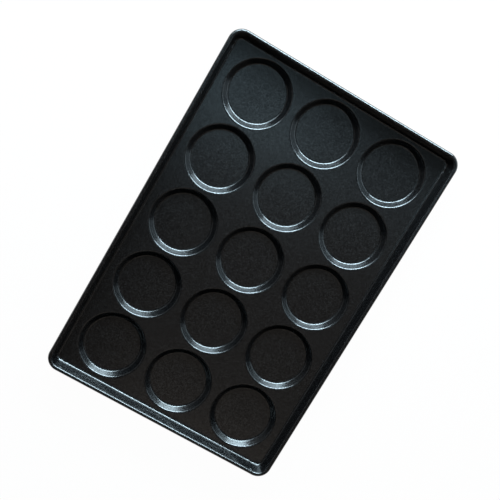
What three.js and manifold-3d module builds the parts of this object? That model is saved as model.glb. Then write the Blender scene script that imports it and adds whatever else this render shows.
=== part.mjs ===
// Hamburger bun pan: one sheet pressed into a tray with a grid of shallow round cups,
// its edge curled outwards round a rim wire. The cups' undersides lie on Z = 0.

import * as THREE from 'three';
import { mergeVertices, toCreasedNormals } from 'three/addons/utils/BufferGeometryUtils.js';
import ManifoldModule from 'manifold-3d';

// Tray sizes
const PAN_LENGTH = 600; // along X, over the curled rim
const PAN_WIDTH = 400; // along Y, over the curled rim
const SHEET = 0.8; // thickness of the sheet
const TRAY_DEPTH = 22; // from the deck up to the top of the rim
const WALL_ANGLE = 75; // degrees between the deck's plane and the wall
const WALL_FOOT_BEND = 4; // inside radius of the bend between deck and wall
const DECK_CORNER_RADIUS = 7; // of the flat deck, seen from above

// Cup sizes
const CUP_MOUTH_DIAMETER = 106; // where deck and cup wall would meet if the mouth were sharp
const CUP_WALL_RUN = 7; // how far the cup wall comes in from mouth to floor
const CUP_DEPTH = 10; // from the deck down to the cup floor
const CUP_MOUTH_BEND = 3; // inside radius of the bend at the mouth
const CUP_FLOOR_BEND = 4; // inside radius of the bend at the cup floor
const LAND_ALONG = 4; // flat strip between neighbouring cups along X
const LAND_ACROSS = 10.4; // flat strip between neighbouring cups along Y
const LEAST_EDGE_LAND = 0.5; // flat strip that has to stay between the cups and the wall's bend

// Rim sizes
const WIRE_DIAMETER = 4.5;
const WIRE_CLEARANCE = 0.3; // between the wire and the curl wrapped round it
const WIRE_JOINT = 1; // gap between the wire's two ends
const CURL_GAP = 1; // between the curl's free edge and the wall

// How finely the round shapes are stepped
const CUP_SIDES = 24;
const CUP_BEND_STEPS = 2;
const FOOT_STEPS = 3;
const CURL_STEP = 30; // degrees
const CORNER_STEPS = 6;
const WIRE_SIDES = 12;

const JOIN_OVERLAP = 0.4; // how far the pressed forms run into the deck where they are joined
const FLAT_TOLERANCE = 0.001; // steps smaller than this are smoothed out of flat faces
const CREASE_ANGLE = 40; // degrees; sharper edges are shaded as edges

const { degToRad } = THREE.MathUtils;

// Heights, taken at the middle of the sheet's thickness
const cupFloorHeight = SHEET / 2;
const deckHeight = cupFloorHeight + CUP_DEPTH;
const rimTop = deckHeight + SHEET / 2 + TRAY_DEPTH;

// How far a rounded corner eats into the straight runs beside it
function bendSetback(radius, angle) {
  return radius * Math.tan(angle / 2);
}

// Cup layout
const cupWallAngle = Math.atan2(CUP_DEPTH, CUP_WALL_RUN);
const cupMouthBend = CUP_MOUTH_BEND + SHEET / 2;
const cupFloorBend = CUP_FLOOR_BEND + SHEET / 2;
const cupFlatRadius = CUP_MOUTH_DIAMETER / 2 + bendSetback(cupMouthBend, cupWallAngle);
const cupPitchAlong = 2 * cupFlatRadius + LAND_ALONG;
const cupPitchAcross = 2 * cupFlatRadius + LAND_ACROSS;

// Rim section, measured outwards from the pan's outline (so all outsets are negative)
const wallAngle = degToRad(WALL_ANGLE);
const wireOutset = -(WIRE_DIAMETER / 2 + WIRE_CLEARANCE + SHEET);
const wireHeight = rimTop + wireOutset;
const curlRadius = WIRE_DIAMETER / 2 + WIRE_CLEARANCE + SHEET / 2;
const curlStart = new THREE.Vector2(
  wireOutset - curlRadius * Math.sin(wallAngle),
  wireHeight + curlRadius * Math.cos(wallAngle),
);
const curlTurn = 2 * Math.PI - Math.acos(1 - (SHEET + CURL_GAP) / curlRadius);
const curlStep = degToRad(CURL_STEP);
const wallFootOutset = curlStart.x - (curlStart.y - deckHeight) / Math.tan(wallAngle);
const wallFootBend = WALL_FOOT_BEND + SHEET / 2;
const deckEdgeOutset = wallFootOutset - bendSetback(wallFootBend, wallAngle);
const rimCornerRadius = DECK_CORNER_RADIUS - deckEdgeOutset;

// A place on the middle line of a bent sheet, with the direction of its upper face
function station(point, heading) {
  return { point, upwards: new THREE.Vector2(-Math.sin(heading), Math.cos(heading)) };
}

// A rounded corner of the sheet's middle line, given where the two straight runs would meet;
// a positive turn goes left
function bendStations(corner, heading, radius, turn, steps) {
  const run = new THREE.Vector2(Math.cos(heading), Math.sin(heading));
  const start = corner.clone().addScaledVector(run, -bendSetback(radius, Math.abs(turn)));
  const left = new THREE.Vector2(-Math.sin(heading), Math.cos(heading));
  const centre = start.clone().addScaledVector(left, Math.sign(turn) * radius);
  return Array.from({ length: steps + 1 }, (_, step) => {
    const turned = (turn * step) / steps;
    return station(start.clone().rotateAround(centre, turned), heading + turned);
  });
}

// The curl's middle line round the wire, stepped so that its top and outermost side are exact
function curlStations() {
  const lastHeading = wallAngle - curlTurn;
  const headings = [wallAngle];
  for (let step = Math.ceil(wallAngle / curlStep) - 1; step * curlStep > lastHeading; step -= 1) {
    headings.push(step * curlStep);
  }
  headings.push(lastHeading);
  return headings.map((heading) => {
    const spoke = new THREE.Vector2(-Math.sin(heading), Math.cos(heading)).multiplyScalar(curlRadius);
    return station(spoke.add(new THREE.Vector2(wireOutset, wireHeight)), heading);
  });
}

// The closed outline of a sheet of even thickness round its middle line
function sheetOutline(stations) {
  const offset = (distance) => ({ point, upwards }) => point.clone().addScaledVector(upwards, distance);
  const lowerFace = stations.map(offset(-SHEET / 2));
  const upperFace = stations.map(offset(SHEET / 2));
  return [...lowerFace, ...upperFace.reverse()];
}

// Places round the pan's outline, counter-clockwise from above, with their outward directions
function outlinePlaces() {
  const centreX = PAN_LENGTH / 2 - rimCornerRadius;
  const centreY = PAN_WIDTH / 2 - rimCornerRadius;
  const corners = [[1, 1], [-1, 1], [-1, -1], [1, -1]];
  return corners.flatMap(([signX, signY], corner) =>
    Array.from({ length: CORNER_STEPS + 1 }, (_, step) => {
      const angle = (corner + step / CORNER_STEPS) * (Math.PI / 2);
      const outward = new THREE.Vector2(Math.cos(angle), Math.sin(angle));
      const centre = new THREE.Vector2(signX * centreX, signY * centreY);
      return { point: centre.addScaledVector(outward, rimCornerRadius), outward };
    }));
}

// A section of outsets and heights, stood up at one place of the outline
function placeSection(section, { point, outward }) {
  return section.map(({ x: outset, y: height }) => {
    const across = point.clone().addScaledVector(outward, outset);
    return new THREE.Vector3(across.x, across.y, height);
  });
}

// The skin over a row of rings, either closed on itself or capped at both ends
function loft(rings, closed) {
  const sides = rings[0].length;
  const spans = closed ? rings.length : rings.length - 1;
  const index = [];
  for (let ring = 0; ring < spans; ring += 1) {
    const here = ring * sides;
    const next = ((ring + 1) % rings.length) * sides;
    for (let side = 0; side < sides; side += 1) {
      const other = (side + 1) % sides;
      index.push(here + side, next + side, next + other);
      index.push(here + side, next + other, here + other);
    }
  }
  if (!closed) {
    const end = (rings.length - 1) * sides;
    for (let side = 1; side < sides - 1; side += 1) {
      index.push(0, side, side + 1);
      index.push(end, end + side + 1, end + side);
    }
  }
  const geometry = new THREE.BufferGeometry().setFromPoints(rings.flat());
  geometry.setIndex(index);
  return geometry;
}

// The deck: a flat plate with a round hole for each cup
function deckGeometry(cupCentres) {
  const edge = outlinePlaces().map(({ point, outward }) => point.addScaledVector(outward, deckEdgeOutset));
  const shape = new THREE.Shape(edge);
  for (const centre of cupCentres) {
    const hole = Array.from({ length: CUP_SIDES }, (_, side) => {
      const angle = (2 * Math.PI * side) / CUP_SIDES;
      return new THREE.Vector2(Math.cos(angle), Math.sin(angle)).multiplyScalar(cupFlatRadius).add(centre);
    });
    shape.holes.push(new THREE.Path(hole));
  }
  const geometry = new THREE.ExtrudeGeometry(shape, { depth: SHEET, bevelEnabled: false });
  return geometry.translate(0, 0, deckHeight - SHEET / 2);
}

// One cup: a shallow dish turned about its own axis, with a narrow flange lying in the deck
function cupGeometry(centre) {
  const mouthRadius = CUP_MOUTH_DIAMETER / 2;
  const floorCorner = new THREE.Vector2(mouthRadius - CUP_WALL_RUN, cupFloorHeight);
  const mouthCorner = new THREE.Vector2(mouthRadius, deckHeight);
  const middle = [
    station(new THREE.Vector2(0, cupFloorHeight), 0),
    ...bendStations(floorCorner, 0, cupFloorBend, cupWallAngle, CUP_BEND_STEPS),
    ...bendStations(mouthCorner, cupWallAngle, cupMouthBend, -cupWallAngle, CUP_BEND_STEPS),
    station(new THREE.Vector2(cupFlatRadius + JOIN_OVERLAP, deckHeight), 0),
  ];
  const dish = new THREE.LatheGeometry(sheetOutline(middle), CUP_SIDES);
  return dish.rotateX(Math.PI / 2).translate(centre.x, centre.y, 0);
}

// The tray wall and the curl: one bent section carried round the pan's outline
function wallGeometry() {
  const footCorner = new THREE.Vector2(wallFootOutset, deckHeight);
  const middle = [
    station(new THREE.Vector2(deckEdgeOutset - JOIN_OVERLAP, deckHeight), 0),
    ...bendStations(footCorner, 0, wallFootBend, wallAngle, FOOT_STEPS),
    ...curlStations(),
  ];
  const section = sheetOutline(middle);
  return loft(outlinePlaces().map((place) => placeSection(section, place)), true);
}

// The rim wire: a round section carried round the same outline, open at its joint
function wireGeometry() {
  const section = Array.from({ length: WIRE_SIDES }, (_, side) => {
    const angle = (2 * Math.PI * side) / WIRE_SIDES;
    const spoke = new THREE.Vector2(Math.cos(angle), Math.sin(angle)).multiplyScalar(WIRE_DIAMETER / 2);
    return spoke.add(new THREE.Vector2(wireOutset, wireHeight));
  });
  const jointEnd = (sign) => ({
    point: new THREE.Vector2(PAN_LENGTH / 2, (sign * WIRE_JOINT) / 2),
    outward: new THREE.Vector2(1, 0),
  });
  const places = [jointEnd(1), ...outlinePlaces(), jointEnd(-1)];
  return loft(places.map((place) => placeSection(section, place)), false);
}

// As many cups as fit on a run of flat deck, centred on it
function cupPositions(deckRun, pitch) {
  const room = deckRun - 2 * (LEAST_EDGE_LAND + cupFlatRadius);
  const count = Math.max(1, Math.floor(room / pitch) + 1);
  return Array.from({ length: count }, (_, cup) => (cup - (count - 1) / 2) * pitch);
}

function cupGrid() {
  const alongX = cupPositions(PAN_LENGTH + 2 * deckEdgeOutset, cupPitchAlong);
  const acrossY = cupPositions(PAN_WIDTH + 2 * deckEdgeOutset, cupPitchAcross);
  return alongX.flatMap((x) => acrossY.map((y) => new THREE.Vector2(x, y)));
}

const wasm = await ManifoldModule();
wasm.setup();

// A three.js geometry as a solid that can be joined to others
function solidOf(geometry) {
  const points = new THREE.BufferGeometry().setAttribute('position', geometry.getAttribute('position'));
  points.setIndex(geometry.getIndex());
  const merged = mergeVertices(points);
  const corners = merged.getIndex().array;
  const triangles = [];
  for (let first = 0; first < corners.length; first += 3) {
    const [a, b, c] = corners.slice(first, first + 3);
    if (a !== b && b !== c && c !== a) triangles.push(a, b, c);
  }
  return new wasm.Manifold(new wasm.Mesh({
    numProp: 3,
    vertProperties: merged.getAttribute('position').array,
    triVerts: Uint32Array.from(triangles),
  }));
}

// A joined solid as a three.js geometry, smooth over the bends and crisp at the edges
function geometryOf(solid) {
  const { vertProperties, triVerts } = solid.getMesh();
  const geometry = new THREE.BufferGeometry();
  geometry.setAttribute('position', new THREE.BufferAttribute(vertProperties, 3));
  geometry.setIndex(new THREE.BufferAttribute(triVerts, 1));
  return toCreasedNormals(geometry, degToRad(CREASE_ANGLE));
}

function panSheet() {
  const cupCentres = cupGrid();
  const forms = [deckGeometry(cupCentres), wallGeometry(), ...cupCentres.map(cupGeometry)];
  const joined = wasm.Manifold.union(forms.map(solidOf)).asOriginal().simplify(FLAT_TOLERANCE);
  const coating = new THREE.MeshStandardMaterial({ color: 0x26282a, roughness: 0.4, metalness: 0.1 });
  const mesh = new THREE.Mesh(geometryOf(joined), coating);
  mesh.name = 'pan_sheet';
  return mesh;
}

function rimWire() {
  const steel = new THREE.MeshStandardMaterial({ color: 0x8c8e8f, roughness: 0.45, metalness: 1 });
  const mesh = new THREE.Mesh(toCreasedNormals(wireGeometry(), degToRad(CREASE_ANGLE)), steel);
  mesh.name = 'rim_wire';
  return mesh;
}

const pan = new THREE.Group();
pan.name = 'hamburger_bun_pan';
pan.add(panSheet(), rimWire());

export default pan;
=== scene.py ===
import math

import bmesh
import bpy
from mathutils import Matrix, Vector


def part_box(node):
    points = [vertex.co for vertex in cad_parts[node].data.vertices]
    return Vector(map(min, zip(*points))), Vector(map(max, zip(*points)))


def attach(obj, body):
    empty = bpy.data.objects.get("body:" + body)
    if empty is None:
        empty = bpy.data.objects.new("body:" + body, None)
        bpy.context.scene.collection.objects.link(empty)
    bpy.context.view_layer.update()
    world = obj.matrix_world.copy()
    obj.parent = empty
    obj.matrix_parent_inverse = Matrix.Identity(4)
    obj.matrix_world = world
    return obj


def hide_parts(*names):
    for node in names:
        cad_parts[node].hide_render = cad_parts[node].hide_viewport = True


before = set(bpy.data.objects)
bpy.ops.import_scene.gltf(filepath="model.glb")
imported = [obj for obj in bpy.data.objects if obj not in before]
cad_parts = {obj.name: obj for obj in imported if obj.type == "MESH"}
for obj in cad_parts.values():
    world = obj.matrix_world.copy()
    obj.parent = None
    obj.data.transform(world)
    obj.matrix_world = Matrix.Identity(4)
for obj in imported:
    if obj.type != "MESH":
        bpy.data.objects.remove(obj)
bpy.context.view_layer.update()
pan_low, pan_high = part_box("pan_sheet")

MM = 0.001

# Sizes of the pressing, the same as in the solids
SHEET = 0.8 * MM
TRAY_DEPTH = 22 * MM
WALL_ANGLE = math.radians(75)
WALL_FOOT_BEND = 4 * MM
DECK_CORNER_RADIUS = 7 * MM
CUP_MOUTH_DIAMETER = 106 * MM
CUP_WALL_RUN = 7 * MM
CUP_MOUTH_BEND = 3 * MM
CUP_FLOOR_BEND = 4 * MM
CUPS_ALONG = 5
CUPS_ACROSS = 3
LAND_ALONG = 4 * MM
LAND_ACROSS = 10.4 * MM
WIRE_DIAMETER = 4.5 * MM
WIRE_CLEARANCE = 0.3 * MM
WIRE_JOINT = 1 * MM
CURL_GAP = 1 * MM

# Marks that the press leaves on the tray wall beside its corners: a small dimple in each end of each
# side, which keeps stacked pans from wedging, and puckers where the spare sheet of the corner went
DIMPLE_FROM_CORNER = 27 * MM
DIMPLE_BELOW_RIM = 6.5 * MM
DIMPLE_PUSH = 0.7 * MM
DIMPLE_REACH = 3.0 * MM
PUCKER_ABOVE_DECK = 2.0 * MM
PUCKER_REACH = 5.0 * MM
PUCKERS = (
    (23 * MM, 0.30 * MM),
    (29 * MM, -0.25 * MM),
    (34 * MM, 0.30 * MM),
)
CORNER_ZONE = 18 * MM

# How finely the round shapes are stepped
CUP_SIDES = 96
CUP_BEND_STEPS = 7
FOOT_STEPS = 8
WALL_STEPS = 14
CURL_STEPS = 30
CORNER_STEPS = 20
ZONE_STEPS = 18
WIRE_SIDES = 24
SMOOTH_ANGLE = math.radians(40)

# A narrow flat ring beside each bend keeps the deck's shading level
FLAT_RING = 0.6 * MM

# Points closer than this are one point
SAME_PLACE = 0.01 * MM

# Sizes of the marks in the finishes, in millimetres. The coating's sprayed droplets are finer than a
# pixel, so they are drawn coarser than they are, to show
COATING_GRAIN_MM = 1.6
COATING_GRAIN_DEPTH_MM = 0.03
COATING_MOTTLE_MM = 45
WIRE_PATCH_MM = 2

# The camera, found from the cup grid and the rim in the photo
CAMERA_PLACE = Vector((222.2, 191.5, 1411.5)) * MM
CAMERA_AIM = Vector((14.61, 8.41, 10.8)) * MM
CAMERA_UP = Vector((0.8502, 0.4910, -0.1902))
CAMERA_LENS_MM = 65.91
CAMERA_SENSOR_MM = 36.0

# The room: colours of its light, heights and sizes in metres, and how much of the floor's white is drawn
DAYLIGHT = "d8f2ff"
SKYLIGHT = "c7eeff"
LAMPLIGHT = "fff0e0"
CEILING_PAINT = "fff4ea"
WALL_PAINT = "ffffff"
CEILING_HEIGHT = 2.2
PANEL_HEIGHT = 2.1
DOWN = (0, 0, -1)
FLOOR_SIZE = 200
WHITE_SHARE = 0.98

# The world is white up to just above the horizon, and nearly dark over that
HORIZON_LOW = math.radians(1)
HORIZON_HIGH = math.radians(3)
ROOM_GLOW = 0.005


# Heights at the middle of the sheet's thickness, and what follows from the sizes

def bend_setback(radius, angle):
    """How far a rounded corner eats into the straight runs beside it."""
    return radius * math.tan(angle / 2)


rim_top = pan_high.z
deck_height = rim_top - TRAY_DEPTH - SHEET / 2
cup_floor_height = pan_low.z + SHEET / 2
cup_wall_angle = math.atan2(deck_height - cup_floor_height, CUP_WALL_RUN)
cup_mouth_bend = CUP_MOUTH_BEND + SHEET / 2
cup_floor_bend = CUP_FLOOR_BEND + SHEET / 2
cup_mouth_radius = CUP_MOUTH_DIAMETER / 2
cup_flat_radius = cup_mouth_radius + bend_setback(cup_mouth_bend, cup_wall_angle)
cup_pitch_along = 2 * cup_flat_radius + LAND_ALONG
cup_pitch_across = 2 * cup_flat_radius + LAND_ACROSS

wire_inset = WIRE_DIAMETER / 2 + WIRE_CLEARANCE + SHEET
wire_height = rim_top - wire_inset
curl_radius = wire_inset - SHEET / 2
curl_turn = math.tau - math.acos(1 - (SHEET + CURL_GAP) / curl_radius)
curl_start_inset = wire_inset + curl_radius * math.sin(WALL_ANGLE)
curl_start_height = wire_height + curl_radius * math.cos(WALL_ANGLE)
wall_foot_inset = curl_start_inset + (curl_start_height - deck_height) / math.tan(WALL_ANGLE)
wall_foot_bend = WALL_FOOT_BEND + SHEET / 2
deck_edge_inset = wall_foot_inset + bend_setback(wall_foot_bend, WALL_ANGLE)
rim_corner_radius = DECK_CORNER_RADIUS + deck_edge_inset
straight_x = pan_high.x - rim_corner_radius
straight_y = pan_high.y - rim_corner_radius


# Modelling by hand: a line of the sheet's middle is drawn, then turned or carried round

def finish_edit():
    """Leaves edit mode with nothing selected."""
    if bpy.context.mode != "OBJECT":
        bpy.ops.object.mode_set(mode="OBJECT")
    bpy.ops.object.select_all(action="DESELECT")


def work_on(piece):
    """Opens a piece in edit mode."""
    finish_edit()
    bpy.context.view_layer.objects.active = piece
    piece.select_set(True)
    bpy.ops.object.mode_set(mode="EDIT")


def start_line(name, point):
    """A single vertex at a point, ready to be drawn out."""
    finish_edit()
    bpy.ops.mesh.primitive_plane_add(size=SHEET)
    piece = bpy.context.object
    piece.name = name
    bpy.ops.object.mode_set(mode="EDIT")
    bpy.ops.mesh.merge(type="CENTER")
    bpy.ops.transform.translate(value=point)
    return piece


def draw_to(point):
    """A straight run from the line's end."""
    mesh = bmesh.from_edit_mesh(bpy.context.object.data)
    tip = next(v for v in mesh.verts if v.select)
    bpy.ops.mesh.extrude_vertices_move(TRANSFORM_OT_translate={"value": Vector(point) - tip.co})


def bend_about(centre, angle, steps):
    """A bend of the line's end about a point, upwards for a positive angle."""
    bpy.ops.mesh.spin(steps=steps, angle=angle, center=centre, axis=(0, 1, 0))


def merge_doubles():
    """Joins points that lie in the same place."""
    bpy.ops.mesh.select_all(action="SELECT")
    bpy.ops.mesh.remove_doubles(threshold=SAME_PLACE)


def carry_along(run, after_corner, before_corner):
    """Carries the selected section along a side, in short steps next to the corners."""
    zone = [CORNER_ZONE / ZONE_STEPS] * ZONE_STEPS
    middle = run.length - CORNER_ZONE * (after_corner + before_corner)
    for length in zone * after_corner + [middle] + zone * before_corner:
        bpy.ops.mesh.extrude_edges_move(TRANSFORM_OT_translate={"value": run.normalized() * length})


def carry_round_rim(first_y, last_y):
    """Carries the selected section from the middle of the +X side all the way round the pan."""
    corners = ((1, 1), (-1, 1), (-1, -1), (1, -1))
    runs = (
        Vector((0, straight_y - first_y, 0)),
        Vector((-2 * straight_x, 0, 0)),
        Vector((0, -2 * straight_y, 0)),
        Vector((2 * straight_x, 0, 0)),
    )
    for (sign_x, sign_y), run in zip(corners, runs):
        carry_along(run, after_corner=run is not runs[0], before_corner=True)
        centre = (sign_x * straight_x, sign_y * straight_y, 0)
        bpy.ops.mesh.spin(steps=CORNER_STEPS, angle=-math.pi / 2, center=centre, axis=(0, 0, 1))
    carry_along(Vector((0, last_y + straight_y, 0)), after_corner=True, before_corner=False)


def pressed_cup():
    """One cup: its section drawn from the axis outwards, then turned."""
    floor_corner = cup_mouth_radius - CUP_WALL_RUN
    floor_setback = bend_setback(cup_floor_bend, cup_wall_angle)
    mouth_setback = bend_setback(cup_mouth_bend, cup_wall_angle)
    floor_edge = floor_corner - floor_setback
    piece = start_line("cup", (0, 0, cup_floor_height))
    draw_to((floor_edge - FLAT_RING, 0, cup_floor_height))
    draw_to((floor_edge, 0, cup_floor_height))
    bend_about((floor_edge, 0, cup_floor_height + cup_floor_bend), cup_wall_angle, CUP_BEND_STEPS)
    draw_to((
        cup_mouth_radius - mouth_setback * math.cos(cup_wall_angle),
        0,
        deck_height - mouth_setback * math.sin(cup_wall_angle),
    ))
    bend_about((cup_flat_radius, 0, deck_height - cup_mouth_bend), -cup_wall_angle, CUP_BEND_STEPS)
    draw_to((cup_flat_radius + FLAT_RING, 0, deck_height))
    bpy.ops.mesh.select_all(action="SELECT")
    bpy.ops.mesh.spin(steps=CUP_SIDES, angle=math.tau, center=(0, 0, 0), axis=(0, 0, 1))
    merge_doubles()
    finish_edit()
    return piece


def cup_copies(first):
    """The first cup copied to every place of the grid."""
    copies = []
    for row in range(CUPS_ALONG):
        for column in range(CUPS_ACROSS):
            copy = first.copy()
            copy.data = first.data.copy()
            bpy.context.collection.objects.link(copy)
            x = (row - (CUPS_ALONG - 1) / 2) * cup_pitch_along
            y = (column - (CUPS_ACROSS - 1) / 2) * cup_pitch_across
            copy.data.transform(Matrix.Translation((x, y, 0)))
            copies.append(copy)
    bpy.data.objects.remove(first)
    return copies


def wall_and_curl():
    """The tray wall and the curled rim: one section carried round the pan."""
    edge = pan_high.x - deck_edge_inset
    wire_x = pan_high.x - wire_inset
    piece = start_line("wall", (edge - FLAT_RING, 0, deck_height))
    draw_to((edge, 0, deck_height))
    bend_about((edge, 0, deck_height + wall_foot_bend), WALL_ANGLE, FOOT_STEPS)
    foot_top = Vector((
        edge + wall_foot_bend * math.sin(WALL_ANGLE),
        0,
        deck_height + wall_foot_bend * (1 - math.cos(WALL_ANGLE)),
    ))
    curl_start = Vector((pan_high.x - curl_start_inset, 0, curl_start_height))
    for step in range(WALL_STEPS):
        draw_to(foot_top.lerp(curl_start, (step + 1) / WALL_STEPS))
    bend_about((wire_x, 0, wire_height), -curl_turn, CURL_STEPS)
    bpy.ops.mesh.select_all(action="SELECT")
    carry_round_rim(0, 0)
    merge_doubles()
    press_marks()
    finish_edit()
    return piece


def push_wall(place, push, reach):
    """Pushes the sheet at one place, fading out softly round it."""
    bpy.ops.mesh.select_all(action="DESELECT")
    mesh = bmesh.from_edit_mesh(bpy.context.object.data)
    nearest = min(mesh.verts, key=lambda v: (v.co - place).length)
    nearest.select_set(True)
    bpy.ops.transform.translate(
        value=push,
        use_proportional_edit=True,
        use_proportional_connected=True,
        proportional_edit_falloff="SMOOTH",
        proportional_size=reach,
    )


def mark_side_end(long_side, sign, end):
    """The dimple and the puckers at one end of one side."""
    inward = Vector((0, -sign, 0)) if long_side else Vector((-sign, 0, 0))

    def wall_place(from_corner, height):
        inset = curl_start_inset + (curl_start_height - height) / math.tan(WALL_ANGLE)
        if long_side:
            return Vector((end * (pan_high.x - from_corner), sign * (pan_high.y - inset), height))
        return Vector((sign * (pan_high.x - inset), end * (pan_high.y - from_corner), height))

    dimple = wall_place(DIMPLE_FROM_CORNER, rim_top - DIMPLE_BELOW_RIM)
    push_wall(dimple, inward * DIMPLE_PUSH, DIMPLE_REACH)
    for from_corner, push in PUCKERS:
        pucker = wall_place(from_corner, deck_height + PUCKER_ABOVE_DECK)
        push_wall(pucker, inward * push, PUCKER_REACH)


def press_marks():
    """Dimples and puckers at both ends of all four sides."""
    for long_side in (True, False):
        for sign in (-1, 1):
            for end in (-1, 1):
                mark_side_end(long_side, sign, end)


def fill_deck(piece):
    """Flat deck between the cups' rings and the wall's foot."""
    work_on(piece)
    bpy.ops.mesh.select_mode(type="EDGE")
    bpy.ops.mesh.select_all(action="DESELECT")
    mesh = bmesh.from_edit_mesh(piece.data)
    for edge in mesh.edges:
        level = all(abs(v.co.z - deck_height) < SAME_PLACE for v in edge.verts)
        edge.select_set(level and edge.is_boundary)
    bmesh.update_edit_mesh(piece.data)
    bpy.ops.mesh.fill(use_beauty=True)
    merge_doubles()
    bpy.ops.mesh.normals_make_consistent(inside=False)
    finish_edit()


def pan_sheet():
    """The whole pressing: wall, cups and deck joined, then given the sheet's thickness."""
    parts = [wall_and_curl(), *cup_copies(pressed_cup())]
    for part in parts:
        part.select_set(True)
    bpy.context.view_layer.objects.active = parts[0]
    bpy.ops.object.join()
    piece = bpy.context.object
    piece.name = "coated_pan_sheet"
    fill_deck(piece)
    bpy.context.view_layer.objects.active = piece
    piece.select_set(True)
    thickness = piece.modifiers.new("sheet thickness", "SOLIDIFY")
    thickness.thickness = SHEET
    thickness.offset = 0
    thickness.use_even_offset = True
    bpy.ops.object.modifier_apply(modifier=thickness.name)
    bpy.ops.object.shade_smooth_by_angle(angle=SMOOTH_ANGLE)
    return piece


def rim_wire():
    """The stiffening wire, butted in the middle of the +X side."""
    finish_edit()
    centre = (pan_high.x - wire_inset, WIRE_JOINT / 2, wire_height)
    bpy.ops.mesh.primitive_circle_add(
        vertices=WIRE_SIDES,
        radius=WIRE_DIAMETER / 2,
        location=centre,
        rotation=(math.pi / 2, 0, 0),
        fill_type="NOTHING",
    )
    piece = bpy.context.object
    piece.name = "drawn_rim_wire"
    bpy.ops.object.transform_apply(location=True, rotation=True, scale=True)
    bpy.ops.object.mode_set(mode="EDIT")
    bpy.ops.mesh.select_all(action="SELECT")
    carry_round_rim(WIRE_JOINT / 2, -WIRE_JOINT / 2)
    bpy.ops.mesh.select_all(action="DESELECT")
    bpy.ops.mesh.select_non_manifold()
    bpy.ops.mesh.edge_face_add()
    bpy.ops.mesh.select_all(action="SELECT")
    bpy.ops.mesh.normals_make_consistent(inside=False)
    finish_edit()
    piece.select_set(True)
    bpy.context.view_layer.objects.active = piece
    bpy.ops.object.shade_smooth_by_angle(angle=SMOOTH_ANGLE)
    return piece


# Materials

def linear(hex_colour):
    """An sRGB colour such as 1c1d1e as linear red, green, blue and alpha."""
    channels = [int(hex_colour[i:i + 2], 16) / 255 for i in (0, 2, 4)]
    return (*[c / 12.92 if c <= 0.04045 else ((c + 0.055) / 1.055) ** 2.4 for c in channels], 1)


def add_node(tree, kind, inputs=None, **settings):
    """Adds a node with its settings; an input is a value, or an output socket to link from."""
    node = tree.nodes.new(kind)
    for name, value in settings.items():
        setattr(node, name, value)
    for name, value in (inputs or {}).items():
        if isinstance(value, bpy.types.NodeSocket):
            tree.links.new(value, node.inputs[name])
        else:
            node.inputs[name].default_value = value
    return node


def new_material(name):
    """An empty material with nodes."""
    material = bpy.data.materials.new(name)
    material.use_nodes = True
    material.node_tree.nodes.clear()
    return material


def per_metre(feature_mm):
    """Noise scale for features of a real size."""
    return 1 / (feature_mm * MM)


def nonstick_coating():
    """Black non-stick coating, sprayed on the pressed sheet and baked. It is nearly black by itself, and
    the eye sees its satin gloss: light lines along the bends, and a fine sprayed grain on the flats."""
    material = new_material("nonstick_coating_sprayed_and_baked")
    tree = material.node_tree
    place = add_node(tree, "ShaderNodeTexCoord").outputs["Object"]
    grain = add_node(tree, "ShaderNodeTexNoise", {
        "Vector": place, "Scale": per_metre(COATING_GRAIN_MM), "Detail": 2.0, "Roughness": 0.6,
    })
    mottle = add_node(tree, "ShaderNodeTexNoise", {
        "Vector": place, "Scale": per_metre(COATING_MOTTLE_MM), "Detail": 3.0, "Roughness": 0.5,
    })
    flecks = add_node(tree, "ShaderNodeMapRange", {
        "Value": grain.outputs["Fac"], "From Min": 0.5, "From Max": 0.7,
    })
    colour = add_node(tree, "ShaderNodeMix", {
        "Factor": flecks.outputs["Result"], "A": linear("020203"), "B": linear("1a1a1b"),
    }, data_type="RGBA")
    sheen = add_node(tree, "ShaderNodeMapRange", {
        "Value": mottle.outputs["Fac"], "From Min": 0.3, "From Max": 0.7, "To Min": 0.22, "To Max": 0.25,
    })
    # Thin and thick droplets shine less and more; the mean is the plain level
    shine = add_node(tree, "ShaderNodeMapRange", {
        "Value": grain.outputs["Fac"], "From Min": 0.3, "From Max": 0.7, "To Min": 0.26, "To Max": 0.74,
    })
    bump = add_node(tree, "ShaderNodeBump", {
        "Height": grain.outputs["Fac"], "Strength": 1.0, "Distance": COATING_GRAIN_DEPTH_MM * MM,
    })
    shader = add_node(tree, "ShaderNodeBsdfPrincipled", {
        "Base Color": colour.outputs["Result"],
        "Roughness": sheen.outputs["Result"],
        "IOR": 1.9,
        "Specular IOR Level": shine.outputs["Result"],
        "Normal": bump.outputs["Normal"],
    })
    add_node(tree, "ShaderNodeOutputMaterial", {"Surface": shader.outputs["BSDF"]})
    return material


def drawn_steel():
    """Steel wire pulled through a die: grey and half dull, with faint darker and shinier patches."""
    material = new_material("drawn_steel_wire")
    tree = material.node_tree
    place = add_node(tree, "ShaderNodeTexCoord").outputs["Object"]
    patches = add_node(tree, "ShaderNodeTexNoise", {
        "Vector": place, "Scale": per_metre(WIRE_PATCH_MM), "Detail": 4.0,
    })
    colour = add_node(tree, "ShaderNodeMix", {
        "Factor": patches.outputs["Fac"], "A": linear("6f7072"), "B": linear("a3a5a6"),
    }, data_type="RGBA")
    roughness = add_node(tree, "ShaderNodeMapRange", {
        "Value": patches.outputs["Fac"], "To Min": 0.35, "To Max": 0.55,
    })
    shader = add_node(tree, "ShaderNodeBsdfPrincipled", {
        "Base Color": colour.outputs["Result"],
        "Roughness": roughness.outputs["Result"],
        "Metallic": 1.0,
    })
    add_node(tree, "ShaderNodeOutputMaterial", {"Surface": shader.outputs["BSDF"]})
    return material


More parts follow.
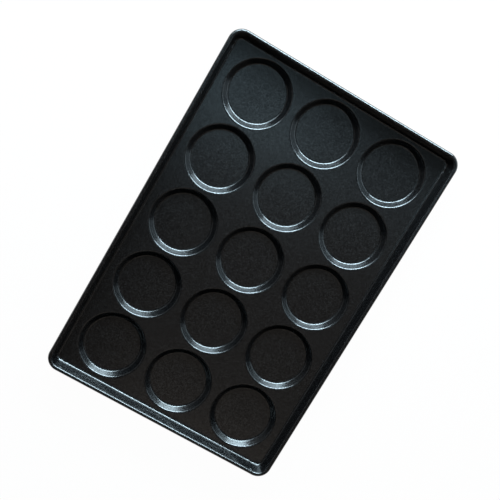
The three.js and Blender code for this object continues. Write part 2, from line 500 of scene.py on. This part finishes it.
def white_floor():
    """Matt white paper; its white is drawn for the camera, mirrors and glass, and the shadow stays."""
    material = new_material("matt_white_paper")
    tree = material.node_tree
    path = add_node(tree, "ShaderNodeLightPath")
    seen = add_node(tree, "ShaderNodeMath", {
        0: path.outputs["Is Camera Ray"], 1: path.outputs["Is Glossy Ray"],
    }, operation="MAXIMUM")
    seen = add_node(tree, "ShaderNodeMath", {
        0: seen.outputs["Value"], 1: path.outputs["Is Transmission Ray"],
    }, operation="MAXIMUM")
    share = add_node(tree, "ShaderNodeMath", {
        0: seen.outputs["Value"], 1: WHITE_SHARE,
    }, operation="MULTIPLY")
    paper = add_node(tree, "ShaderNodeBsdfDiffuse", {"Color": linear("f4f4f3")})
    white = add_node(tree, "ShaderNodeEmission", {"Color": (1, 1, 1, 1), "Strength": 1.0})
    mixed = add_node(tree, "ShaderNodeMixShader", {
        0: share.outputs["Value"], 1: paper.outputs["BSDF"], 2: white.outputs["Emission"],
    })
    add_node(tree, "ShaderNodeOutputMaterial", {"Surface": mixed.outputs["Shader"]})
    return material


# Scene

def floor():
    """White paper under the pan, out to the horizon."""
    finish_edit()
    bpy.ops.mesh.primitive_plane_add(size=FLOOR_SIZE, location=(0, 0, pan_low.z))
    piece = bpy.context.object
    piece.name = "floor"
    piece.data.materials.append(white_floor())


def softbox(name, place, facing, width, height, brightness, hex_colour):
    """A flat even panel of light; a brightness of 1 would look white in a mirror."""
    lamp = bpy.data.lights.new(name, "AREA")
    lamp.shape = "RECTANGLE"
    lamp.size = width
    lamp.size_y = height
    lamp.energy = brightness * math.pi * width * height
    lamp.color = linear(hex_colour)[:3]
    holder = bpy.data.objects.new(name, lamp)
    holder.location = place
    holder.rotation_euler = Vector(facing).to_track_quat("-Z", "Y").to_euler()
    holder.visible_camera = False
    bpy.context.scene.collection.objects.link(holder)


def room_world():
    """A dim room over a white horizon."""
    world = bpy.data.worlds.new("studio")
    world.use_nodes = True
    tree = world.node_tree
    background = tree.nodes["Background"]
    direction = add_node(tree, "ShaderNodeTexCoord").outputs["Generated"]
    height = add_node(tree, "ShaderNodeSeparateXYZ", {"Vector": direction}).outputs["Z"]
    room = add_node(tree, "ShaderNodeMapRange", {
        "Value": height,
        "From Min": math.sin(HORIZON_LOW),
        "From Max": math.sin(HORIZON_HIGH),
        "To Min": 1.0,
        "To Max": ROOM_GLOW,
    }, interpolation_type="SMOOTHSTEP")
    tree.links.new(room.outputs["Result"], background.inputs["Strength"])
    background.inputs["Color"].default_value = (1, 1, 1, 1)
    bpy.context.scene.world = world


def daylight():
    """A window low beyond the +X end draws the light lines, and dimmer panes stand round it."""
    softbox("window", (0.95, 0.23, 0.475), (-1, 0, 0), 1.38, 0.27, 26.5, DAYLIGHT)
    softbox("low_window", (0.95, 0.1, 0.205), (-1, 0, 0), 1.0, 0.23, 7.6, DAYLIGHT)
    softbox("high_window", (0.8, 0.65, 0.84), (-1.05, -0.85, 0), 0.76, 0.38, 11.0, DAYLIGHT)
    softbox("side_window", (0.7, -0.85, 0.4), (-0.7, 0.85, 0), 0.9, 0.4, 1.4, DAYLIGHT)


def room_light():
    """The ceiling and the panels under it show in the flats, and the pale walls in the rim."""
    softbox("skylight", (0.165, 0.25, PANEL_HEIGHT), DOWN, 0.2, 1.1, 0.84, SKYLIGHT)
    softbox("dim_skylight", (0.165, -0.7, PANEL_HEIGHT), DOWN, 0.2, 0.8, 0.24, SKYLIGHT)
    softbox("ceiling", (-0.6, -0.575, CEILING_HEIGHT), DOWN, 1.7, 1.45, 0.105, CEILING_PAINT)
    softbox("ceiling_lamp", (-1.44, -0.65, PANEL_HEIGHT), DOWN, 0.7, 1.1, 0.26, LAMPLIGHT)
    softbox("left_wall", (-0.05, 1.5, 1.0), (0, -1, 0), 2.5, 2.0, 0.15, WALL_PAINT)
    softbox("right_wall", (-0.05, -1.5, 1.0), (0, 1, 0), 2.5, 2.0, 0.06, LAMPLIGHT)


def camera():
    """The photo's camera."""
    data = bpy.data.cameras.new("camera")
    data.sensor_width = CAMERA_SENSOR_MM
    data.lens = CAMERA_LENS_MM
    holder = bpy.data.objects.new("camera", data)
    back = (CAMERA_PLACE - CAMERA_AIM).normalized()
    right = CAMERA_UP.cross(back).normalized()
    up = back.cross(right)
    turn = Matrix((right, up, back)).transposed().to_4x4()
    holder.matrix_world = Matrix.Translation(CAMERA_PLACE) @ turn
    bpy.context.scene.collection.objects.link(holder)
    bpy.context.scene.camera = holder


camera()
room_world()
daylight()
room_light()
floor()

sheet = pan_sheet()
sheet.data.materials.clear()
sheet.data.materials.append(nonstick_coating())
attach(sheet, "root")
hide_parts("pan_sheet")

wire = rim_wire()
wire.data.materials.clear()
wire.data.materials.append(drawn_steel())
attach(wire, "root")
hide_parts("rim_wire")

bpy.context.scene.view_settings.view_transform = "Standard"
